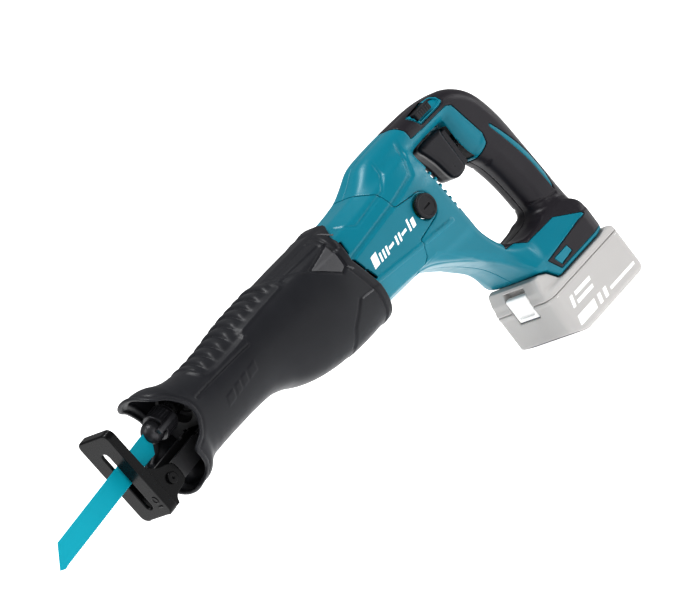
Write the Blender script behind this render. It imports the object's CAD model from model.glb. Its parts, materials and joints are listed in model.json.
"""The saw's looks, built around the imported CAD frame.

Shapes are signed distance fields on a grid, in millimetres, in the work frame (X rearwards from the blade clamp, Z up);
each is meshed, put on its surface, and moved to the row frame in metres.
"""
import bpy
import json
import math
import numpy as np
import openvdb as vdb
from mathutils import Matrix, Vector


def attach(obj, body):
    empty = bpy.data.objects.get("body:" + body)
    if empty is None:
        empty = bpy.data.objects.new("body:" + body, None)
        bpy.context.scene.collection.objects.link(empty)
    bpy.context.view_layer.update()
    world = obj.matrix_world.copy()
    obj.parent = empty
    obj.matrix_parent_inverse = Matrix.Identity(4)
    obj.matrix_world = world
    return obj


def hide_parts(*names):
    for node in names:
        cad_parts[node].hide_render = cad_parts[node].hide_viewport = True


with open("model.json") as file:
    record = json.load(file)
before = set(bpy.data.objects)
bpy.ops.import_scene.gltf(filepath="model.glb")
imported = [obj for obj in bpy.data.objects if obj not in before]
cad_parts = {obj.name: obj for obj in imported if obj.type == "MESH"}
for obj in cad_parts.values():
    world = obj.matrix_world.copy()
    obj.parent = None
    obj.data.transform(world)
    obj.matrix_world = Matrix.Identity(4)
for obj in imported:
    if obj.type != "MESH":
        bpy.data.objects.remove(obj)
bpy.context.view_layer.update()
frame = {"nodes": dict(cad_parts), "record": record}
NODES = frame["nodes"]
f32 = np.float32

TX, TZ, TILT = -154.061, 187.0, 4.0
CT, ST = math.cos(math.radians(TILT)), math.sin(math.radians(TILT))
H = 0.8      # grid step of the large pieces


# ---------------------------------------------------------------- distance fields
class Grid:
    def __init__(self, lo, hi, h):
        self.h = h
        self.lo = np.array(lo, float)
        n = [int(math.ceil((hi[i] - lo[i]) / h)) + 1 for i in range(3)]
        self.n = n
        self.X = (lo[0] + h * np.arange(n[0])).astype(f32)[:, None, None]
        self.Y = (lo[1] + h * np.arange(n[1])).astype(f32)[None, :, None]
        self.Z = (lo[2] + h * np.arange(n[2])).astype(f32)[None, None, :]
        self.A = np.abs(self.Y)


def smin(a, b, k):
    t = np.clip(0.5 + 0.5 * (b - a) / k, 0, 1)
    return b + (a - b) * t - k * t * (1 - t)


def smax(a, b, k):
    return -smin(-a, -b, k)


def step(x, a, b):
    t = np.clip((x - a) / (b - a), 0, 1)
    return t * t * (3 - 2 * t)


def poly2(pts, U, W):
    """Signed distance to a closed polygon; negative inside."""
    U, W = np.broadcast_arrays(U, W)
    best = np.full(U.shape, 1e9, f32)
    sign = np.zeros(U.shape, bool)
    n = len(pts)
    for i in range(n):
        ax, ay = pts[i]
        bx, by = pts[(i + 1) % n]
        ex, ey = bx - ax, by - ay
        wx, wy = U - ax, W - ay
        t = np.clip((wx * ex + wy * ey) / max(ex * ex + ey * ey, 1e-9), 0, 1)
        d = (wx - ex * t) ** 2 + (wy - ey * t) ** 2
        best = np.minimum(best, d)
        cross = ((ay > W) != (by > W)) & (U < ex * (W - ay) / (ey if abs(ey) > 1e-9 else 1e-9) + ax)
        sign ^= cross
    d = np.sqrt(best)
    return np.where(sign, -d, d).astype(f32)


def line2(pts, U, W):
    """Distance to an open polyline."""
    U, W = np.broadcast_arrays(U, W)
    best = np.full(U.shape, 1e9, f32)
    for (ax, ay), (bx, by) in zip(pts, pts[1:]):
        ex, ey = bx - ax, by - ay
        t = np.clip(((U - ax) * ex + (W - ay) * ey) / (ex * ex + ey * ey), 0, 1)
        best = np.minimum(best, (U - ax - ex * t) ** 2 + (W - ay - ey * t) ** 2)
    return np.sqrt(best).astype(f32)


def curve(pts, closed=True, sub=5, keep=()):
    """A smooth line through the points; those in keep stay corners."""
    out = []
    n = len(pts)
    for i in range(n if closed else n - 1):
        p = [np.array(pts[(i + k) % n if closed else min(max(i + k, 0), n - 1)], float) for k in (-1, 0, 1, 2)]
        t0 = (p[2] - p[0]) / 2 if i % n not in keep else (p[2] - p[1]) * 0.5
        t1 = (p[3] - p[1]) / 2 if (i + 1) % n not in keep else (p[2] - p[1]) * 0.5
        for k in range(sub):
            t = k / sub
            a = 2 * t ** 3 - 3 * t ** 2 + 1
            b = t ** 3 - 2 * t ** 2 + t
            c = -2 * t ** 3 + 3 * t ** 2
            d = t ** 3 - t ** 2
            out.append(tuple(a * p[1] + b * t0 + c * p[2] + d * t1))
    if not closed:
        out.append(tuple(pts[-1]))
    return out


def ext(d2, across, w, r):
    """A 2D field extruded to half width w, with its edges rounded by r."""
    q = d2 + r
    p = across - (w - r)
    return np.minimum(np.maximum(q, p), 0) + np.hypot(np.maximum(q, 0), np.maximum(p, 0)) - r


def rbox(G, lo, hi, r):
    q = [np.abs(c - (a + b) / 2) - ((b - a) / 2 - r) for c, a, b in zip((G.X, G.Y, G.Z), lo, hi)]
    m = np.maximum(np.maximum(q[0], q[1]), q[2])
    return np.minimum(m, 0) + np.sqrt(sum(np.maximum(v, 0) ** 2 for v in q)) - r


def disc(G, axis, c, r, lo, hi, e):
    """A cylinder along axis 0, 1 or 2, with rounded rims."""
    co = [G.X, G.Y, G.Z]
    a = [i for i in range(3) if i != axis]
    rad = np.hypot(co[a[0]] - c[0], co[a[1]] - c[1])
    q, p = rad - r + e, np.abs(co[axis] - (lo + hi) / 2) - (hi - lo) / 2 + e
    return np.minimum(np.maximum(q, p), 0) + np.hypot(np.maximum(q, 0), np.maximum(p, 0)) - e


def hermite(xs, ys, x):
    xs, ys = np.array(xs, float), np.array(ys, float)
    m = np.gradient(ys, xs)
    i = np.clip(np.searchsorted(xs, x) - 1, 0, len(xs) - 2)
    hgt = xs[i + 1] - xs[i]
    t = np.clip((x - xs[i]) / hgt, 0, 1)
    return ((2 * t ** 3 - 3 * t ** 2 + 1) * ys[i] + (t ** 3 - 2 * t ** 2 + t) * hgt * m[i]
            + (-2 * t ** 3 + 3 * t ** 2) * ys[i + 1] + (t ** 3 - t ** 2) * hgt * m[i + 1]).astype(f32)


def sample(A, P):
    n = np.array(A.shape) - 2
    i = np.clip(np.floor(P).astype(int), 0, n)
    t = (P - i).astype(f32)
    r = 0
    for dx in (0, 1):
        for dy in (0, 1):
            for dz in (0, 1):
                w = ((t[:, 0] if dx else 1 - t[:, 0]) * (t[:, 1] if dy else 1 - t[:, 1]) * (t[:, 2] if dz else 1 - t[:, 2]))
                r = r + w * A[i[:, 0] + dx, i[:, 1] + dy, i[:, 2] + dz]
    return r


def islands(n, faces, least):
    """Keeps the vertices of connected parts with at least this many vertices."""
    lab = np.arange(n)
    e = np.concatenate([faces[:, [k, (k + 1) % faces.shape[1]]] for k in range(faces.shape[1])])
    while True:
        a, b = lab[e[:, 0]], lab[e[:, 1]]
        m = np.minimum(a, b)
        new = lab.copy()
        np.minimum.at(new, a, m)
        np.minimum.at(new, b, m)
        new = new[new]
        if (new == lab).all():
            break
        lab = new
    ids, cnt = np.unique(lab, return_counts=True)
    ok = set(ids[cnt >= least])
    return np.array([v in ok for v in ids])[np.searchsorted(ids, lab)]


COLL = bpy.context.scene.collection


def piece(name, G, D, body, mat, replaces=(), tilted=False, least=60, y_only=None):
    band = 3.0 * G.h
    A = np.clip(np.broadcast_to(D, G.n), -band, band).astype(f32).copy()
    for s in (0, -1):
        A[s], A[:, s], A[:, :, s] = band, band, band
    g = vdb.FloatGrid(band)
    g.copyFromArray(A)
    P, T, Q = g.convertToPolygons(isovalue=0.0, adaptivity=0.0)
    P = np.array(P, float)
    F = np.array(Q, np.int64)
    if len(T):
        F = np.concatenate([F, np.concatenate([T, T[:, :1]], 1)]) if len(F) else np.concatenate([T, T[:, :1]], 1)
    for _ in range(2):   # onto the surface
        d = sample(A, P)
        gr = np.stack([sample(A, P + o) - sample(A, P - o) for o in np.eye(3) * 0.5], 1)
        ln = np.maximum((gr ** 2).sum(1), 0.05 * G.h ** 2)
        mv = gr * (d / ln)[:, None]
        size = np.linalg.norm(mv, axis=1)
        mv *= np.minimum(1, 0.6 / np.maximum(size, 1e-6))[:, None]
        P = P - mv
    if least:
        keep = islands(len(P), F, least)
        idx = np.cumsum(keep) - 1
        F = F[keep[F[:, 0]]]
        F = idx[F]
        P = P[keep]
    W = G.lo + P * G.h
    # faces turned outwards
    a, b, c = W[F[:, 0]], W[F[:, 1]], W[F[:, 2]]
    if np.einsum("ij,ij->i", a, np.cross(b, c)).sum() + np.einsum("ij,ij->i", W[F[:, 0]], np.cross(W[F[:, 2]], W[F[:, 3]])).sum() < 0:
        F = F[:, ::-1]
    if tilted:
        x = W[:, 0] * CT - W[:, 2] * ST
        z = W[:, 0] * ST + W[:, 2] * CT
        W = np.stack([x, W[:, 1], z], 1)
    W = (W + np.array([TX, 0, TZ])) / 1000
    me = bpy.data.meshes.new(name)
    me.vertices.add(len(W))
    me.vertices.foreach_set("co", W.astype(f32).ravel())
    me.loops.add(F.size)
    me.loops.foreach_set("vertex_index", F.ravel().astype(np.int32))
    me.polygons.add(len(F))
    me.polygons.foreach_set("loop_start", np.arange(len(F), dtype=np.int32) * 4)
    me.polygons.foreach_set("use_smooth", np.ones(len(F), bool))
    me.update(calc_edges=True)
    me.validate()
    ob = bpy.data.objects.new(name, me)
    COLL.objects.link(ob)
    me.materials.append(mat)
    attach(ob, body)
    if replaces:
        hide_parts(*replaces)
    print("piece %-24s %7d faces" % (name, len(F)))
    return ob


# ---------------------------------------------------------------- materials
def material(name, color, rough, metallic=0.0, mottle=0.06, mottle_scale=60.0, grain=0.0, grain_scale=2500.0, coat=0.0,
             rough_var=0.08, spec=0.5, wear=0.0, sheen=0.0, alpha=1.0, aniso=0.0, brushed=False):
    m = bpy.data.materials.new(name)
    m.use_nodes = True
    nt = m.node_tree
    b = nt.nodes["Principled BSDF"]
    b.inputs["Metallic"].default_value = metallic
    b.inputs["Specular IOR Level"].default_value = spec
    b.inputs["Coat Weight"].default_value = coat
    b.inputs["Coat Roughness"].default_value = 0.25
    b.inputs["Sheen Weight"].default_value = sheen
    b.inputs["Alpha"].default_value = alpha
    co = nt.nodes.new("ShaderNodeTexCoord")
    n1 = nt.nodes.new("ShaderNodeTexNoise")
    n1.inputs["Scale"].default_value = mottle_scale
    n1.inputs["Detail"].default_value = 5
    nt.links.new(co.outputs["Object"], n1.inputs["Vector"])
    mix = nt.nodes.new("ShaderNodeMix")
    mix.data_type = "RGBA"
    mix.inputs[6].default_value = tuple(c * (1 - mottle) for c in color) + (1,)
    mix.inputs[7].default_value = tuple(min(1, c * (1 + mottle)) for c in color) + (1,)
    nt.links.new(n1.outputs["Fac"], mix.inputs[0])
    last = mix.outputs[2]
    if wear:
        geo = nt.nodes.new("ShaderNodeNewGeometry")
        ramp = nt.nodes.new("ShaderNodeValToRGB")
        ramp.color_ramp.elements[0].position = 0.515
        ramp.color_ramp.elements[1].position = 0.60
        nt.links.new(geo.outputs["Pointiness"], ramp.inputs[0])
        mw = nt.nodes.new("ShaderNodeMix")
        mw.data_type = "RGBA"
        sc = nt.nodes.new("ShaderNodeMath")
        sc.operation = "MULTIPLY"
        sc.inputs[1].default_value = wear
        nt.links.new(ramp.outputs[0], sc.inputs[0])
        nt.links.new(sc.outputs[0], mw.inputs[0])
        nt.links.new(last, mw.inputs[6])
        mw.inputs[7].default_value = tuple(min(1, c * 1.6 + 0.03) for c in color) + (1,)
        last = mw.outputs[2]
    nt.links.new(last, b.inputs["Base Color"])
    n2 = nt.nodes.new("ShaderNodeTexNoise")
    n2.inputs["Scale"].default_value = mottle_scale * 3.1
    n2.inputs["Detail"].default_value = 4
    src = co.outputs["Object"]
    if brushed:
        mp = nt.nodes.new("ShaderNodeMapping")
        mp.inputs["Scale"].default_value = (0.06, 1, 1)
        nt.links.new(src, mp.inputs["Vector"])
        src = mp.outputs[0]
        n2.inputs["Scale"].default_value = 900
    nt.links.new(src, n2.inputs["Vector"])
    mr = nt.nodes.new("ShaderNodeMapRange")
    mr.inputs["To Min"].default_value = max(0.02, rough - rough_var)
    mr.inputs["To Max"].default_value = rough + rough_var
    nt.links.new(n2.outputs["Fac"], mr.inputs["Value"])
    nt.links.new(mr.outputs[0], b.inputs["Roughness"])
    if grain:
        n3 = nt.nodes.new("ShaderNodeTexNoise")
        n3.inputs["Scale"].default_value = grain_scale
        n3.inputs["Detail"].default_value = 2
        nt.links.new(co.outputs["Object"], n3.inputs["Vector"])
        bp = nt.nodes.new("ShaderNodeBump")
        bp.inputs["Strength"].default_value = grain
        bp.inputs["Distance"].default_value = 0.0002
        nt.links.new(n3.outputs["Fac"], bp.inputs["Height"])
        nt.links.new(bp.outputs[0], b.inputs["Normal"])
    return m


M = {
    "teal_plastic": material("teal_plastic", (0.0, 0.158, 0.218), 0.34, mottle=0.03, grain=0.10, grain_scale=1800, spec=0.3),
    "boot_rubber": material("boot_rubber", (0.014, 0.0145, 0.0175), 0.42, mottle=0.18, mottle_scale=35, grain=0.18, grain_scale=1300, spec=0.2, wear=0.2),
    "grip_rubber": material("grip_rubber", (0.016, 0.014, 0.018), 0.38, mottle=0.12, grain=0.22, grain_scale=1900, spec=0.24, wear=0.15),
    "patch": material("boot_patch_rubber", (0.05, 0.05, 0.054), 0.5, mottle=0.12, grain=0.5, grain_scale=900),
    "black_plastic": material("black_plastic", (0.011, 0.011, 0.013), 0.42, mottle=0.1, grain=0.35, grain_scale=1500, wear=0.2, spec=0.25),
    "badge_teal": material("badge_teal", (0.0, 0.17, 0.235), 0.3, mottle=0.03, grain=0.05, spec=0.3),
    "cast_aluminium": material("cast_housing", (0.012, 0.0125, 0.014), 0.5, metallic=0.1, mottle=0.2, grain=0.5, grain_scale=900),
    "turned_steel": material("turned_steel", (0.42, 0.42, 0.43), 0.32, metallic=1.0, brushed=True, mottle=0.05),
    "bearing_steel": material("bearing_steel", (0.55, 0.55, 0.56), 0.22, metallic=1.0, mottle=0.03),
    "sintered_bronze": material("sintered_bronze", (0.45, 0.28, 0.12), 0.45, metallic=1.0, grain=0.4, grain_scale=1200),
    "brass": material("brass_metal", (0.62, 0.46, 0.18), 0.3, metallic=1.0, brushed=True),
    "carbon": material("carbon", (0.03, 0.03, 0.032), 0.5, grain=0.4, grain_scale=2000),
    "magnet": material("magnet", (0.06, 0.06, 0.065), 0.6, grain=0.3, grain_scale=1500),
    "lamination": material("lamination", (0.3, 0.3, 0.31), 0.4, metallic=1.0, brushed=True),
    "copper": material("copper_wire", (0.55, 0.22, 0.09), 0.32, metallic=0.9, brushed=True),
    "fan_plastic": material("fan_plastic", (0.03, 0.03, 0.034), 0.45, grain=0.2),
    "blade_paint": material("blade_paint", (0.0, 0.305, 0.395), 0.5, mottle=0.03, grain=0.08, grain_scale=1500, spec=0.15),
    "shoe_paint": material("shoe_paint", (0.004, 0.004, 0.0045), 0.26, mottle=0.15, mottle_scale=90, wear=0.15, spec=0.14),
    "clamp_steel": material("clamp_steel", (0.03, 0.03, 0.034), 0.36, metallic=0.3, mottle=0.15, grain=0.2, wear=0.5),
    "bar_steel": material("bar_steel", (0.025, 0.025, 0.027), 0.33, metallic=0.3, brushed=True, wear=0.5),
    "lens": material("lens", (0.75, 0.78, 0.8), 0.1, mottle=0.02, coat=0.5),
    "trigger_plastic": material("trigger_plastic", (0.014, 0.0135, 0.017), 0.3, mottle=0.08, grain=0.12, grain_scale=1800, wear=0.15, spec=0.25),
    "battery_plastic": material("battery_plastic", (0.44, 0.428, 0.42), 0.5, mottle=0.02, grain=0.12, grain_scale=1500, spec=0.25),
    "cell_wrap": material("cell_wrap", (0.1, 0.2, 0.38), 0.3, mottle=0.05, coat=0.2),
    "button_white": material("button_white", (0.9, 0.89, 0.88), 0.45, mottle=0.01, grain=0.05),
    "seal_rubber": material("seal_rubber", (0.02, 0.02, 0.022), 0.5, grain=0.3),
    "mark_white": material("mark_white", (0.92, 0.92, 0.92), 0.4, mottle=0.01, grain=0.05),
}

SLOT_OF = {s["node"]: s.get("material_slot", s["node"]) for s in frame["record"]["subparts"]}
for n, ob in NODES.items():
    mat = M["bar_steel"] if n in ("shoe_bar", "shoe_rivet") else M[SLOT_OF[n]]
    ob.data.materials.clear()
    ob.data.materials.append(mat)
    for p in ob.data.polygons:
        p.material_index = 0

# ---------------------------------------------------------------- motor housing and handle
BODY_SECTION = {
    205: [(12, 17.0), (26, 9.5), (34.6, -9.0), (35.3, -35.5), (28, -53.0), (14, -60.5)],
    250: [(12, 17.5), (26.5, 10.5), (34.6, -6.5), (35.3, -39.5), (28, -54.5), (14, -61.0)],
    282: [(14, 20.0), (26.5, 12.5), (34.2, -3.0), (35.3, -42.5), (29, -57.0), (14, -63.0)],
    318: [(14, 20.5), (24.5, 14.5), (30.8, 0.0), (32.5, -44.0), (29, -60.0), (14, -72.0)],
    337: [(12, 17.0), (20, 12.0), (25.5, 0.0), (28.5, -44.0), (27, -60.0), (14, -76.0)],
}
LOOP_OUT = [(268, 4), (274, 17), (284, 26), (297, 31.8), (320, 33.2), (345, 33.2), (372, 32.6), (390, 30.2),
            (405, 26), (417, 18), (425.5, 7.5), (431, -7), (434.5, -25), (436.3, -48), (438.2, -76), (439.3, -98),
            (439.8, -113), (440.2, -124), (440, -138), (432, -141), (400, -141), (380, -141), (362, -128), (350, -112), (318, -60), (285, -30)]
LOOP_IN = [(334, -4), (334, -26), (334, -46), (337.5, -62), (343, -78), (350, -91), (358, -98.5), (370, -102.5), (390, -102.5),
           (399, -100), (403, -93), (402.5, -80), (400, -60), (396, -44), (391, -34), (386, -22), (384, -8), (383.5, 6), (380, 8.4), (350, 8.4), (341, 6.0), (335.5, 1.5)]
BRANCH_POLY = [(284, -12), (334, -12), (334, -46), (337.5, -62), (343, -78), (350, -91), (358, -98.5), (368, -106),
               (368, -124), (361, -129), (353.5, -125.5), (348, -115), (338, -102), (318, -84), (296, -69), (280, -58)]
FOOT_POLY = [(340, -96), (348, -115), (353.5, -126), (361, -130), (369, -141), (440, -141), (440.4, -131),
             (439, -123), (436, -115), (431, -107), (423, -101), (398, -99.5), (352, -91)]
FOOT_PLAN = [(300, 50), (300, -20), (440.4, -20), (440.4, 9), (437.5, 22), (432, 30), (424, 34.2), (410, 50)]
SEAM = [(190, -95), (190, 60), (262, 60), (266, 22), (270, 17), (278, 9), (279.5, -6), (302, -10), (302, -34.5),
        (279.5, -38), (278, -52), (268, -60), (262, -95)]
DARK = [(331, 60), (337, 37), (342, 31.5), (344.5, 26), (344, 18.5), (366, 17.0), (392, 17.0), (397, 14), (398.5, 8), (405, -20), (402.5, -27.5),
        (388, -34.5), (378, -36), (378, -60), (378, -92), (350, -92), (346, -95.5), (360, -98.5), (369, -105.5), (404, -106.2), (424.5, -118.5),
        (424.5, -121), (416, -120.5), (366.5, -125), (373.5, -137), (470, -137), (470, 60)]
STRIPE = curve([(414, -20), (416.5, -19), (424.5, -38), (431, -60), (432.3, -79), (428.5, -94), (427.6, -78), (426, -62), (421, -42)], keep=(0, 5))
LOCK_WIN = curve([(357.0, 30.6), (361.3, 21.2), (388.0, 21.2), (391.6, 24.2), (390.0, 28.4), (383, 31.2)], keep=(0, 1), sub=4)
INSET = [(372.5, -127), (390.5, -127), (392.0, -133.5), (375.5, -135.0)]

G = Grid((203, -41, -145), (460, 41, 38), H)
X, Y, Z, A = G.X, G.Y, G.Z, G.A


def convex_section(G, sec):
    xs = sorted(sec)
    nv = len(sec[xs[0]])
    x = G.X[:, 0, 0]
    yy = [hermite(xs, [sec[k][v][0] for k in xs], x)[:, None, None] for v in range(nv)]
    zz = [hermite(xs, [sec[k][v][1] for k in xs], x)[:, None, None] for v in range(nv)]
    d = G.Z - zz[0] + 0 * G.A
    for k in range(nv - 1):
        ey, ez = yy[k + 1] - yy[k], zz[k + 1] - zz[k]
        ln = np.hypot(ey, ez)
        d = smax(d, (-ez * (G.A - yy[k]) + ey * (G.Z - zz[k])) / ln, 1.6)
    return smax(d, zz[-1] - G.Z, 3.0)


print("housing field")
body = convex_section(G, BODY_SECTION)
body = smax(body, X - 334.0, 5.0)
d_in = poly2(curve(LOOP_IN, sub=4), X, Z)
d_out = poly2(curve(LOOP_OUT, sub=4, keep=(18, 20)), X, Z)
ring = smax(d_out, -d_in, 2.0)
wide = 17.0 + 2.0 * step(Z, -92, -122) + 1.2 * step(X, 372, 340) * step(Z, -30, 5)
loop = ext(ring, A, wide, 12.5)
br = ext(smax(poly2(curve(BRANCH_POLY, sub=3, keep=(0, 1, 8, 9, 14, 15)), X, Z), -d_in, 2.0), A, 29.5 - 2.5 * step(Z, -50, -85) + 4.0 * step(Z, -95, -125), 8.0)
yz = poly2([(-60, -150), (-34, -150), (-34, -121.5), (-20.5, -99.5), (-16, -88), (16, -88), (20.5, -99.5), (34, -121.5), (34, -150), (60, -150)][1:9], Y, Z)
ft = smax(smax(smax(poly2(FOOT_POLY, X, Z), yz, 3.0), poly2(FOOT_PLAN, X, A), 3.0), -d_in, 2.0)
D = smin(body, br, 7.0)
D = smin(D, loop, 9.0)
D = smin(D, ft, 6.0)
D = smax(D, -141.0 - Z, 1.0)
D = smax(D, 209.0 - X, 0.5)
side = step(A, 14, 18)
# the creased band over the side panel, and the raised one under it
D = D + 1.15 * step(line2([(200, -12), (217, -9.5), (282, -3), (314, 2), (326, 16), (336, 36)], X, Z), 2.7, 1.5) * side * step(A, 16, 19) * step(X, 345, 335)
D = D - 0.9 * step(line2([(200, -34), (222, -35.5), (279, -42), (317, -46)], X, Z), 2.4, 1.2) * side
D = D + 0.7 * step(line2([(232, 12.5), (243, 4), (283, 8.5), (297, 17), (306, 38)], X, Z), 1.8, 0.6) * side
D = D + 1.0 * step(poly2([(258, -90), (266, -57), (288, -55.5), (318, -82), (336, -104), (300, -110)], X, Z), 0.8, -0.8) * step(A, 17, 20) * step(A, 34, 27)
# thumb hollow over the trigger, and the grip's pad
D = D + 0.55 * step(poly2([(344, 18), (397, 16), (404, -22), (386, -30), (384, 8.6), (345, 8.6)], X, Z), 1.0, -1.5) * step(A, 9, 13)
D = D + 0.8 * step(line2(curve([(398, -42), (392.5, -47), (393.5, -70), (397, -82), (404, -89.5), (427, -96)], closed=False), X, Z), 1.6, 0.3) * step(A, 6, 10)
D = D + 0.6 * np.exp(-((X - 412) / 12) ** 2 - ((Z + 68) / 20) ** 2) * step(A, 6, 12)
# the foot's stepped side
D = D - 0.5 * step(poly2([(364, -124), (372, -138.5), (470, -138.5), (470, -119), (416, -119)], X, Z), 0.8, -0.8) * step(A, 27, 31)
BODY_D = D
# air inlets in the wall behind the motor
comb = None
for i in range(7):
    z0 = -6.2 - 6.2 * i
    c = np.maximum(np.maximum(np.abs(Z - z0) - 2.0, 329.2 - X), np.maximum(A - 30, X - 340))
    comb = c if comb is None else np.minimum(comb, c)
D = np.maximum(D, -comb)
# outlet slots behind the boot
for a, b in (((222.0, 4.0), (219.0, -4.5)), ((217.8, -11.5), (220.8, -21.5)), ((222.0, -24.5), (224.8, -33.0))):
    D = np.maximum(D, -np.maximum(line2([a, b], X, Z) - 1.35, 26 - A))
LS = np.maximum(np.maximum(np.abs(X - 370) - 9.9, np.abs(Z - 27.4) - 3.7), 0 * A)
D = np.maximum(D, -LS)
# pocket around the lock-off bar
lw = poly2(LOCK_WIN, X, Z)
D = np.maximum(D, -np.maximum(lw, BODY_D * -1 - 2.4))
HOLLOW = BODY_D + 2.6
inner = np.maximum(HOLLOW, 0 * HOLLOW - 50)
bay = np.maximum(np.maximum(350 - X, X - 431.5), np.maximum(A - 26.2, Z + 131.5))
ceiling = np.maximum(np.maximum(np.maximum(350 - X, X - 437), A - 29), np.maximum(-145 - Z, Z + 129))
hollow = np.maximum(HOLLOW, -ceiling)
seam = poly2(SEAM, X, Z)
seam = np.minimum(seam, np.hypot(X - 302, Z + 22) - 12.4)
cap_bore = np.hypot(X - 302, Z + 22) - 10.7
D = np.maximum(D, -np.maximum(cap_bore, 31.5 - A))
shell = np.maximum(D, -hollow)
shell = np.minimum(shell, np.maximum(np.maximum(D, np.hypot(X - 302, Z + 22) - 12.3), np.maximum(8.9 - np.hypot(X - 302, Z + 22), 30 - A)))
shell = np.maximum(shell, -bay)
rails = np.maximum(np.maximum(np.maximum(372 - X, X - 431.4), np.abs(Z + 139.7) - 1.3), np.abs(A - 24.8) - 1.6)
shell = np.minimum(shell, rails)
trig_slot = np.maximum(np.maximum(np.abs(X - 386.3) - 8.3, A - 9.4), np.abs(Z + 13.5) - 16.7)
shell = np.maximum(shell, -trig_slot)
shell = np.maximum(shell, -np.maximum(np.maximum(X - 385.3, 345 - X), np.maximum(A - 12.2, np.abs(Z + 13) - 21.4)))

motor = np.maximum(np.maximum(shell, seam), 210.6 - X)
motor = np.maximum(motor, -np.maximum(np.hypot(Y, Z + 22) - 14, X - 214))
piece("vis_motor_housing", G, motor, "housing", M["teal_plastic"], ["motor_housing"], least=400)

dark = poly2(DARK, X, Z)
dark = np.maximum(dark, -poly2(STRIPE, X, Z))
dark3 = np.maximum(dark, -np.maximum(lw - 0.9, 11 - A))
inset = poly2(INSET, X, Z)
dark3 = np.maximum(dark3, -np.maximum(inset, 20 - A))
tz = np.maximum(np.maximum(np.abs(X - 366) - 20, A - 12.6), np.abs(Z + 14) - 22.7)
dark3 = np.maximum(dark3, -tz)
handle = np.maximum(shell, -(seam - 0.3))
handle = np.maximum(handle, -np.maximum(dark3 - 0.22, BODY_D * -1 - 1.5))
for sgn, nm in ((-1, "left"), (1, "right")):
    half = -sgn * Y
    heads = None
    hs = np.maximum(handle, half + 0.02)
    if sgn > 0:
        for x, z in ((312, 22), (405, 12), (421, -56), (427, -96), (430.8, -124.5), (322, -60)):
            hs = np.maximum(hs, -np.maximum(np.hypot(X - x, Z - z) - 3.4, 8.5 - Y))
            hs = np.minimum(hs, np.maximum(np.maximum(np.hypot(X - x, Z - z) - 4.6, 1.75 - np.hypot(X - x, Z - z)), np.maximum(BODY_D + 1, np.abs(Y - 4.5) - 1.4)))
    piece("vis_handle_" + nm, G, hs, "housing", M["teal_plastic"], ["handle_" + nm], least=900)
    cv = np.maximum(np.maximum(np.maximum(BODY_D - 0.12, -(BODY_D + 1.3)), dark3), half + 0.02)
    cv = np.maximum(cv, -bay)
    cv = np.maximum(cv, -np.maximum(np.maximum(360.0 - X, X - 380.0), np.abs(Z - 27.4) - 3.8))
    if sgn > 0:
        for x, z in ((405, 12), (421, -56), (427, -96), (430.8, -124.5)):
            cv = np.maximum(cv, -np.maximum(np.hypot(X - x, Z - z) - 3.5, 8.5 - Y))
    piece("vis_grip_cover_" + nm, G, cv, "housing", M["grip_rubber"], ["grip_cover_" + nm], least=400)
    bd = np.maximum(np.maximum(np.maximum(BODY_D - 0.2, -(BODY_D + 1.3)), inset + 0.25), half + 20)
    piece("vis_foot_badge_" + nm, G, bd, "housing", M["badge_teal"], ["foot_badge_" + nm], least=60)

G3 = Grid((353, -19, 17), (396, 19, 35), 0.4)
ring3 = smax(poly2(curve(LOOP_OUT, sub=4, keep=(18, 20)), G3.X, G3.Z), -poly2(curve(LOOP_IN, sub=4), G3.X, G3.Z), 2.0)
top3 = ext(ring3, G3.A, 17.0 + 1.2 * step(G3.X, 372, 340) * step(G3.Z, -30, 5), 12.5)
lw3 = poly2(LOCK_WIN, G3.X, G3.Z)
hole3 = np.maximum(np.abs(G3.X - 370) - 9.8, np.abs(G3.Z - 27.4) - 3.6)
for sgn, nm in ((-1, "left"), (1, "right")):
    half = -sgn * G3.Y
    bz = np.maximum(np.maximum(top3 + 1.3, -(top3 + 2.3)), lw3 + 0.1)
    rim = np.maximum(np.maximum(top3 - 0.25, -(top3 + 2.3)), np.abs(lw3 + 0.75) - 0.65)
    bz = np.maximum(np.maximum(np.minimum(bz, rim), half + 9), -hole3)
    piece("vis_lock_bezel_" + nm, G3, bz, "housing", M["badge_teal"], ["lock_bezel_" + nm], least=60)

# a plain mark of slanted bars on each side panel
G2 = Grid((222, -39, -32), (296, 39, -14), 0.5)
small = convex_section(G2, BODY_SECTION)
m2 = None
base = lambda x: -28.6 + 0.012 * (x - 228)
x0 = 228.0
for w, lo, hi in ((7.5, 0, 9.5), (2.6, 0, 7), (2.6, 0, 7), (2.6, 0, 7), (7.0, 2.4, 4.8), (2.6, 0, 7), (2.6, 0, 7), (7.0, 2.4, 4.8), (2.6, 0, 9.5), (5.0, 0, 7)):
    a = base(x0)
    q = [(x0, a + lo), (x0 + w, a + lo + 0.095 * w), (x0 + w + 0.32 * (hi - lo), a + hi + 0.095 * w), (x0 + 0.32 * (hi - lo), a + hi)]
    d = poly2(q, G2.X, G2.Z)
    m2 = d if m2 is None else np.minimum(m2, d)
    x0 += w + 1.7
for sgn, nm in ((-1, "left"), (1, "right")):
    mk = np.maximum(np.maximum(np.maximum(small - 0.22, -(small + 0.6)), m2), -sgn * G2.Y + 20)
    piece("side_mark_" + nm, G2, mk, "housing", M["mark_white"], least=20)

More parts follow.
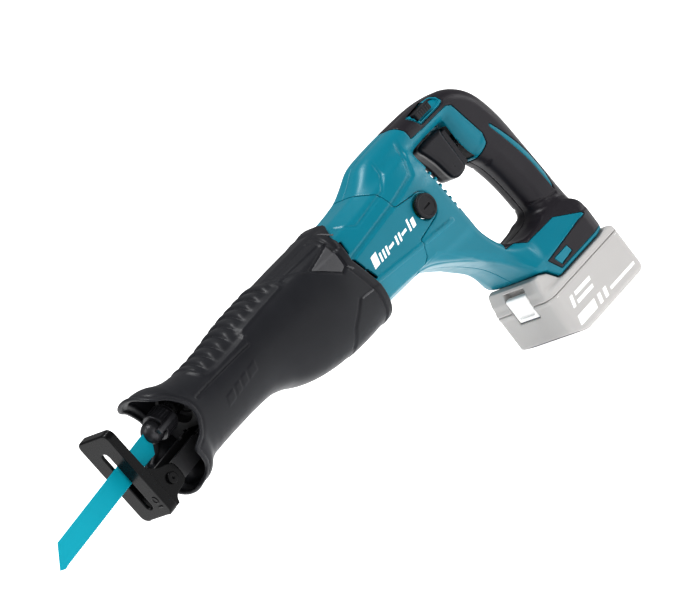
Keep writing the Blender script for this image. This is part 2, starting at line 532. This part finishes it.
# ---------------------------------------------------------------- the boot
print("boot field")
SEC = [(-9, 30.0, -52.5, 35.0, 2.1), (4, 30.4, -53.4, 35.2, 2.1), (12, 30.0, -52.6, 34.8, 2.1), (19, 28.2, -47.6, 33.2, 2.1), (26, 24.6, -45.0, 32.4, 2.1), (34, 21.4, -44.3, 31.8, 2.1), (46, 18.8, -43.8, 31.2, 2.1), (64, 17.6, -43.6, 30.8, 2.1),
       (84, 18.6, -43.8, 31.0, 2.1), (104, 20.8, -45.6, 32.2, 2.15), (118, 21.8, -50.5, 33.8, 2.2), (132, 22.0, -58.0, 35.6, 2.3), (145, 22.0, -62.6, 37.2, 2.4), (158, 22.0, -65.4, 38.5, 2.5),
       (185, 22.0, -67.6, 39.3, 2.9), (212, 21.5, -67.4, 39.2, 3.0), (240, 20.0, -65.6, 38.0, 3.1)]
B = Grid((-14, -43, -70), (246, 43, 34), H)
bx = B.X[:, 0, 0]
col = lambda k: hermite([s[0] for s in SEC], [s[k] for s in SEC], bx)[:, None, None]
top, bot, wid, pw = col(1), col(2), col(3), col(4)
zc, hz = (top + bot) / 2, (top - bot) / 2
F = ((B.A / wid + 1e-4) ** pw + (np.abs(B.Z - zc) / hz + 1e-4) ** pw) ** (1 / pw)
gx, gy, gz = np.gradient(F, B.h)
boot = (F - 1) / np.maximum(np.sqrt(gx ** 2 + gy ** 2 + gz ** 2), 0.01)
del gx, gy, gz, F
bX, bZ, bA = B.X, B.Z, B.A
REAR = [(229.5, 60), (229.5, 20), (217.5, 13.5), (213, -9), (221, -36), (224, -95)]
FRONT = [(0, 60), (0, 31), (1.5, 26), (5, 21), (11, 16.5), (16, 10), (19.5, 3), (20, -3), (18, -9.5), (12, -16.5), (4, -20.5), (0, -24), (1.5, -31), (3, -39), (1, -45), (-4, -50), (-7, -95)]
bside = step(bA, 8, 14)
# ribs on the back of the barrel
area = poly2([(50, 60), (54, 8.5), (63, 6), (98, 7), (105, 12), (153, 15), (160, 60)], bX, bZ)
mask = step(area, 1.2, -1.2)
t = (bX - 52) / 10.6 + bA * 0.012
fr = t - np.floor(t)
wave = np.sin(math.pi * fr ** 0.62)
boot = boot + mask * (1.0 - 2.1 * wave * step(bA, 24, 15))
edge = line2(curve([(50, 18), (54, 8.5), (63, 6), (98, 7), (105, 12), (153, 15)], closed=False, sub=4), bX, bZ)
boot = boot - 1.0 * np.exp(-(edge / 1.7) ** 2) * bside
# the long groove, and the ridge beside it
boot = boot + 1.0 * np.exp(-(line2([(32, 2), (98, 1)], bX, bZ) / 0.9) ** 2) * bside
boot = boot - 0.45 * np.exp(-(line2([(32, 4.4), (98, 3.2)], bX, bZ) / 1.1) ** 2) * bside
# the swell over the crank, the saddle above it and its creases
boot = boot - 1.7 * np.exp(-((bX - 190) / 19) ** 2 - ((bZ + 24) / 17) ** 2) * bside
boot = boot + 1.6 * step(poly2([(128, 60), (150, 25), (176, 9.5), (183, 5), (213, 4), (219, 14), (236, 19), (236, 60)], bX, bZ), 1.0, -1.5) * step(bX, 232, 222) * step(bA, 6, 14)
for z0 in (15.0, 19.5):
    boot = boot + 0.9 * np.exp(-(line2([(160, z0), (205, z0 - 1)], bX, bZ) / 1.3) ** 2) * step(bA, 10, 15)
boot = boot + 0.7 * np.exp(-(line2(curve([(196, -34), (188, -41), (179, -49), (174, -60)], closed=False), bX, bZ) / 1.1) ** 2) * bside
boot = boot - 0.6 * step(poly2([(197, -34), (230, -38), (230, -80), (170, -80), (180, -49)], bX, bZ), 0.6, -0.8) * bside
# collar at the rear edge
rear = line2(REAR, bX, bZ)
boot = boot - 1.0 * step(rear, 7.0, 5.8) + 0.5 * np.exp(-((rear - 7.4) / 0.7) ** 2)
# lip at the mouth
front = line2(curve(FRONT, closed=False, sub=4, keep=(0, 1, 15, 16)), bX, bZ)
boot = boot - 1.5 * step(front, 4.2, 2.4) + 0.6 * np.exp(-((front - 4.9) / 0.8) ** 2)
# three plain bars, raised a little
for i, (a, w) in enumerate(((50, 9), (62, 6), (71, 6), (80, 9))):
    q = [(a, -21 + 0.12 * (a - 50)), (a + w, -21 + 0.12 * (a + w - 50)), (a + w + 2.6, -14 + 0.12 * (a + w - 50)), (a + 2.6, -14 + 0.12 * (a - 50))]
    boot = boot - 0.45 * step(poly2(q, bX, bZ), 0.6, -0.4) * bside
TRI = [(181, 6.5), (208.5, 11), (204.5, -8), (199, -9.5)]
tri = poly2(TRI, bX, bZ)
outer_b = boot
boot = boot + 1.0 * step(tri, 2.4, 1.2) * bside
dash = None
for a, b in (((199, -35), (212, -36.6)), ((217.5, 18.5), (219.5, 14.0)), ((206.5, -10.0), (208.5, -13.5))):
    d = line2([a, b], bX, bZ) - 1.1
    dash = d if dash is None else np.minimum(dash, d)
FRONT_POLY = curve(FRONT, closed=False, sub=4, keep=(0, 1, 15, 16)) + [(-60, -95), (-60, 60)]
REAR_POLY = REAR + [(300, -95), (300, 60)]
cuts = np.maximum(-poly2(REAR_POLY, bX, bZ), -poly2(FRONT_POLY, bX, bZ))
skin = np.maximum(-(boot + 2.9), 0 * boot - 50)
bt = smax(smax(boot, skin, 0.8), cuts, 0.8)
mask_m = convex_section(B, BODY_SECTION)
bt = np.maximum(bt, -np.maximum(mask_m - 0.3, 208.7 - bX))
piece("vis_front_boot", B, bt, "housing", M["boot_rubber"], ["front_boot"], least=900)
pt = np.maximum(np.maximum(np.maximum(outer_b + 0.35, -(outer_b + 1.6)), tri), 20 - bA)
piece("boot_side_patch", B, pt, "housing", M["patch"], least=60)
ds = np.maximum(np.maximum(np.maximum(outer_b - 0.15, -(outer_b + 1.2)), dash), 8 - bA + 12 * step(bZ, 10, 5))
piece("boot_side_dashes", B, ds, "housing", M["patch"], least=20)
del boot, skin, bt, outer_b, cuts, mask_m

# ---------------------------------------------------------------- brush caps
for sgn, nm in ((-1, "left"), (1, "right")):
    y0 = sgn * 33.5 if sgn > 0 else -38.0
    C = Grid((289, y0 - 1, -35), (315, y0 + 5.5, -9), 0.3)
    yy = C.Y * sgn
    rad = np.hypot(C.X - 302, C.Z + 22)
    c = disc(C, 1, (302, -22), 10.2, min(sgn * 34.6, sgn * 38.0), max(sgn * 34.6, sgn * 38.0), 0.9)
    c = np.minimum(c, disc(C, 1, (302, -22), 8.8, min(sgn * 33.5, sgn * 35.5), max(sgn * 33.5, sgn * 35.5), 0.2))
    c = np.maximum(c, -np.maximum(rad - 7.9, 37.5 - yy))
    c = np.maximum(c, -np.maximum(np.maximum(np.abs(C.X - 302) - 3.9, np.abs(C.Z + 22) - 0.8), 36.4 - yy))
    for k in range(36):
        a = 2 * math.pi * k / 36
        c = np.maximum(c, -(np.hypot(C.X - 302 - 10.6 * math.cos(a), C.Z + 22 - 10.6 * math.sin(a)) - 0.62 + 0 * C.Y))
    piece("vis_brush_cap_" + nm, C, c, "housing", M["black_plastic"], ["brush_cap_" + nm], least=60)

# ---------------------------------------------------------------- trigger and lock-off bar
TR = curve([(350.5, 3.5), (354, 6.8), (366, 7.4), (378.5, 6.6), (378.5, -30), (375, -32.4), (367.5, -33.4), (362, -31), (359.4, -26), (357, -14), (353.5, -4)], sub=5, keep=(3, 4))
T = Grid((346, -14, -38), (393, 14, 10), 0.45)
tw = poly2(TR, T.X, T.Z)
t1 = ext(tw, T.A, 11.4, 4.2)
t1 = t1 + 0.9 * np.exp(-((tw + 1.5) / 2.0) ** 2) * step(T.A, 8, 3) * step(T.X, 372, 364) * step(T.Z, -33, -26)
t1 = np.maximum(t1, T.X - 378.5)
t1 = np.minimum(t1, rbox(T, (373, -8.8, -29.7), (383.5, 8.8, 2.8), 0.8))
t1 = np.minimum(t1, disc(T, 0, (0, -12), 3.0, 382, 390.4, 0.4))
piece("vis_trigger", T, t1, "trigger", M["trigger_plastic"], ["trigger"], least=60)
L = Grid((359, -21, 22.5), (381, 17, 32.5), 0.35)
lb = rbox(L, (361.0, -18.6, 24.3), (379.0, 14.6, 30.4), 0.9)
lb = lb + 0.5 * (0.5 + 0.5 * np.cos((L.X - 370) * 2 * math.pi / 2.6)) * step(np.abs(L.Y + 2), 15.5, 16.2) * step(np.abs(L.X - 370), 7.5, 6.5)
piece("vis_lock_off_bar", L, lb, "lock_off", M["black_plastic"], ["lock_off_bar"], least=60)

# ---------------------------------------------------------------- nose: clamp, blade, shoe (in the plunger's own frame)
K = Grid((-9, -17, -17), (24, 17, 17), 0.4)
rr = np.hypot(K.Y, K.Z)
slot_b = rbox(K, (-30, -0.75, -5.2), (14, 0.75, 5.2), 0.1)
nose = np.sqrt((K.X - 2.0) ** 2 + rr ** 2) - 9.0
nose = np.maximum(nose, K.X - 2.0)
nose = np.minimum(nose, disc(K, 0, (0, 0), 9.0, 0.5, 5.0, 0.7))
nose = np.minimum(nose, disc(K, 0, (0, 0), 7.6, 3.0, 22.0, 0.3))
nose = np.minimum(nose, disc(K, 0, (0, 0), 10.2, 20.8, 22.0, 0.4))
nose = np.maximum(nose, -np.maximum(rr - 6.5, 3.0 - K.X))
nose = np.maximum(nose, -slot_b)
nose = np.maximum(nose, -(np.hypot(K.X - 8.5, K.Z) - 1.9 + 0 * K.Y))
piece("vis_clamp_body", K, nose, "plunger", M["clamp_steel"], ["blade_clamp_body"], tilted=True, least=60)
sl = disc(K, 0, (0, 0), 11.6, 6.2, 19.2, 0.8)
ang = np.arctan2(K.Z, K.Y)
sl = sl + 0.5 * (0.5 + 0.5 * np.cos(ang * 28)) * step(np.abs(K.X - 13.5), 4.5, 3.5) * step(rr, 10.5, 11.2)
lev = rbox(K, (-1.9, -15.0, -2.6), (19.0, -10.4, 2.6), 1.2)
lev = np.maximum(np.maximum(lev, rr - 15.1), 9.4 - rr)
sl = smin(sl, lev, 1.5)
sl = np.maximum(sl, 7.65 - rr)
sl = np.maximum(sl, -np.maximum(rr - 9.4, K.X - 6.2))
piece("vis_clamp_sleeve", K, sl, "clamp_collar", M["clamp_steel"], ["clamp_sleeve"], tilted=True, least=60)

S = Grid((-45, -22, -48), (-9, 22, 35), 0.4)
face = ext(poly2([(-20, -46), (20, -46), (20, 33), (-20, 33)], S.Y, S.Z) + 5.5, 0 * S.X, 0, 0)
pl2 = np.hypot(np.maximum(S.A - 14.0, 0), np.maximum(np.abs(S.Z + 6.5) - 33.5, 0)) - 6.0
pl2 = np.maximum(pl2, np.maximum(S.A - 20, np.abs(S.Z + 6.5) - 39.5))
plate = np.maximum(smax(pl2, -43.0 - S.X, 1.6), S.X + 35.5)
inn = np.maximum(pl2 + 2.6, -40.2 - S.X)
ends = np.maximum(S.X + 40.2, -43.0 - S.X)
plate = np.maximum(plate, -np.maximum(np.hypot(np.maximum(S.A - 12.0, 0), np.maximum(np.abs(S.Z + 6.5) - 31.5, 0)) - 5.4, -40.2 - S.X))
EAR = curve([(-42.0, 6.0), (-36, -2), (-27, -14.0), (-15.5, -19.5), (-11.2, -24), (-11.2, -35), (-15, -39), (-24, -40.0),
             (-28.0, -42.5), (-29.5, -46.0), (-42.0, -46.0)], sub=3, keep=(0, 9, 10))
ear = np.maximum(poly2(EAR, S.X, S.Z), np.abs(S.A - 13.7) - 1.3)
plate = smin(plate, smax(ear, np.abs(S.A - 13.7) - 1.3, 0.8), 1.2)
sl2 = np.hypot(S.Y, np.maximum(np.maximum(S.Z - 14.0, -33.0 - S.Z), 0)) - 4.0
plate = smax(plate, -np.maximum(sl2, S.X + 37), 0.8)
plate = np.maximum(plate, -(np.hypot(S.X + 21.0, S.Z + 29.0) - 3.05 + 0 * S.Y))
# plain raised ring and bar on the face
rg = np.abs(np.hypot(S.Y + 12.5, S.Z + 31.0) - 2.6) - 0.5
rg = np.minimum(rg, np.maximum(np.abs(S.Y + 12.5) - 2.6, np.abs(S.Z + 37.2) - 0.7))
plate = np.minimum(plate, np.maximum(rg + 0 * S.X, np.abs(S.X + 43.0) - 0.55))
piece("vis_shoe_plate", S, plate, "shoe", M["shoe_paint"], ["shoe_plate"], tilted=True, least=60)
R = Grid((-28, -18.5, -36), (-14, 18.5, -22), 0.35)
rv = np.minimum(disc(R, 1, (-21, -29), 3.0, -15.5, 15.5, 0.2), np.minimum(disc(R, 1, (-21, -29), 4.6, -17.2, -15.0, 0.7), disc(R, 1, (-21, -29), 4.6, 15.0, 17.2, 0.7)))
rv = np.maximum(rv, -(np.hypot(R.X + 21, R.Z + 29) - 1.3 + 1.0 * (17.2 - R.A)))
piece("vis_shoe_rivet", R, rv, "shoe_carrier", M["shoe_paint"], ["shoe_rivet"], tilted=True, least=60)

# ---------------------------------------------------------------- battery pack
print("battery field")
P_ = Grid((340, -39, -189), (449, 39, -125), 0.7)
pX, pY, pZ, pA = P_.X, P_.Y, P_.Z, P_.A
plan = np.hypot(np.maximum(np.maximum(343 + 10 - pX, pX - (441.5 - 8)), 0), 0 * pY)
cx = np.maximum(np.abs(pX - 392.25) - (49.25 - 8.5), 0)
cy = np.maximum(pA - (37 - 8.5), 0)
plan = np.hypot(cx, cy) - 8.5 + np.minimum(np.maximum(np.abs(pX - 392.25) - 40.75, pA - 28.5), 0)
case = ext(plan, np.abs(pZ + 164.5), 22.5, 5.0)
case = np.maximum(case, -141.9 - 200 - pZ)
low = smax(case, (-0.5 * (pX - 343) - (pZ + 187) + 7.5) / 1.118, 2.0)
up_block = np.maximum(smax(poly2([(343.2, -150), (344.0, -138), (347.5, -128.6), (352.5, -127.6), (360.0, -131.4), (368.2, -142), (368.2, -150)], pX, pZ), pA - 32.5, 3.0), 0 * pX - 50)
rail_block = np.maximum(np.maximum(366 - pX, pX - 430.5), np.maximum(pA - 22.6, np.maximum(-148 - pZ, pZ + 132.3)))
groove_top = np.maximum(np.maximum(370.5 - pX, pX - 430.5), np.maximum(pA - 25.4, np.abs(pZ + 135.15) - 2.75))
full = np.minimum(smin(low, up_block, 2.0), np.minimum(rail_block, groove_top))
hole = np.maximum(np.maximum(pA - 13.3, pX - 352), np.abs(pZ + 145.0) - 13.5)
slots4 = None
for y in (-14.0, -4.0, 4.0, 14.0):
    s_ = np.maximum(np.maximum(400 - pX, np.abs(pY - y) - 1.2), np.maximum(-141.5 - pZ, pZ + 130))
    slots4 = s_ if slots4 is None else np.minimum(slots4, s_)
line_cut = np.maximum(np.abs(pZ + 147.5) - 0.45, -(case + 0.7))
room = np.maximum(case + 2.5, pZ + 144.4)
full = np.maximum(np.maximum(full, -hole), -slots4)
full = np.maximum(full, -line_cut)
lower = np.maximum(np.maximum(full, pZ + 147.5), -room)
upper = np.maximum(np.maximum(full, -147.5 - pZ), -room)
piece("vis_battery_lower", P_, lower, "battery", M["battery_plastic"], ["battery_case_lower"], least=400)
piece("vis_battery_upper", P_, upper, "battery", M["battery_plastic"], ["battery_case_upper"], least=400)
# plain lines and bars on the pack's sides
mk = np.maximum(line2([(349.5, -149.6), (437, -149.6)], pX, pZ) - 0.35, 0 * pY - 5)
for q in ([(356, -166), (360, -166), (363.5, -156.5), (359.5, -156.5)], [(362.5, -166), (385, -166), (386.2, -162.6), (363.8, -162.6)],
          [(365, -159.9), (387, -159.9), (388.3, -156.5), (366.2, -156.5)], [(352, -180), (376, -180), (378.6, -172), (354.6, -172)],
          [(380, -180), (384.5, -180), (387.2, -172), (382.6, -172)], [(388, -180), (392.5, -180), (395.2, -172), (390.6, -172)],
          [(397, -178.5), (432, -178.5), (432.8, -175.6), (398, -175.6)]):
    mk = np.minimum(mk, poly2(q, pX, pZ))
mk = np.maximum(np.maximum(np.maximum(low - 0.2, -(low + 0.8)), mk), 34 - pA)
piece("battery_marks", P_, mk, "battery", M["mark_white"], least=10)
Q_ = Grid((341, -15, -160), (353, 15, -134), 0.45)
bt = rbox(Q_, (343.5, -12.9, -157.9), (349.8, 12.9, -136.2), 1.6)
bt = np.maximum(bt, -rbox(Q_, (340, -9.5, -154.5), (345.2, 9.5, -145.5), 1.0))
piece("vis_battery_button", Q_, bt, "battery_button", M["button_white"], ["battery_release_button"], least=60)

# ---------------------------------------------------------------- stage, light, camera
AZ, EL, ROLL, KK, DIST = 35.72, 12.62, 37.59, 1.36, 3.5
a, e = math.radians(AZ), math.radians(EL)
fwd = Vector((math.sin(a) * math.cos(e), math.cos(a) * math.cos(e), -math.sin(e)))
rt = Vector((math.cos(a), -math.sin(a), 0))
up = rt.cross(fwd)
r = math.radians(ROLL)
c0 = Vector((-1.8593, -2.8731, 0.7527)) + Vector((TX / 1000, 0, TZ / 1000))
rx = rt * math.cos(r) - up * math.sin(r)
ry = rt * math.sin(r) + up * math.cos(r)
cam = bpy.data.cameras.new("camera")
cam.sensor_width = 36.0
cam.lens = 36.0 * KK * DIST * 1000 / 684.0
cam.clip_end = 50
co = bpy.data.objects.new("camera", cam)
m = Matrix((rx, ry, -fwd)).transposed().to_4x4()
m.translation = c0
co.matrix_world = m
COLL.objects.link(co)
bpy.context.scene.camera = co

fm = bpy.data.meshes.new("floor")
fm.from_pydata([(-9, -9, -0.0005), (9, -9, -0.0005), (9, 9, -0.0005), (-9, 9, -0.0005)], [], [(0, 1, 2, 3)])
floor = bpy.data.objects.new("floor", fm)
COLL.objects.link(floor)
fmat = material("floor_paper", (0.93, 0.93, 0.93), 0.95, mottle=0.005, mottle_scale=3, spec=0.0)
fb = fmat.node_tree.nodes["Principled BSDF"]
fb.inputs["Emission Color"].default_value = (1, 1, 1, 1)
fb.inputs["Emission Strength"].default_value = 0.62
floor.data.materials.append(fmat)

world = bpy.data.worlds.new("world")
bpy.context.scene.world = world
world.use_nodes = True
world.node_tree.nodes["Background"].inputs[0].default_value = (1, 1, 1, 1)
world.node_tree.nodes["Background"].inputs[1].default_value = 0.30
bpy.context.scene.view_settings.view_transform = "Standard"
bpy.context.scene.view_settings.look = "Medium High Contrast"
centre = Vector((0.0, 0, 0.11))


def area(name, offset, size, power, aim=centre):
    li = bpy.data.lights.new(name, "AREA")
    li.shape = "RECTANGLE"
    li.size, li.size_y = size
    li.energy = power
    ob = bpy.data.objects.new(name, li)
    pos = centre + rx * offset[0] + ry * offset[1] - fwd * offset[2]
    ob.location = pos
    ob.rotation_euler = (aim - pos).to_track_quat("-Z", "Y").to_euler()
    COLL.objects.link(ob)


area("key", (-1.0, 1.5, 0.5), (1.1, 0.35), 29)
area("left", (-1.7, -0.1, 0.7), (0.3, 1.4), 11)
area("front", (0.6, 0.5, 2.0), (0.9, 0.9), 7)
area("rim", (1.2, 1.2, -0.3), (0.3, 0.9), 6)

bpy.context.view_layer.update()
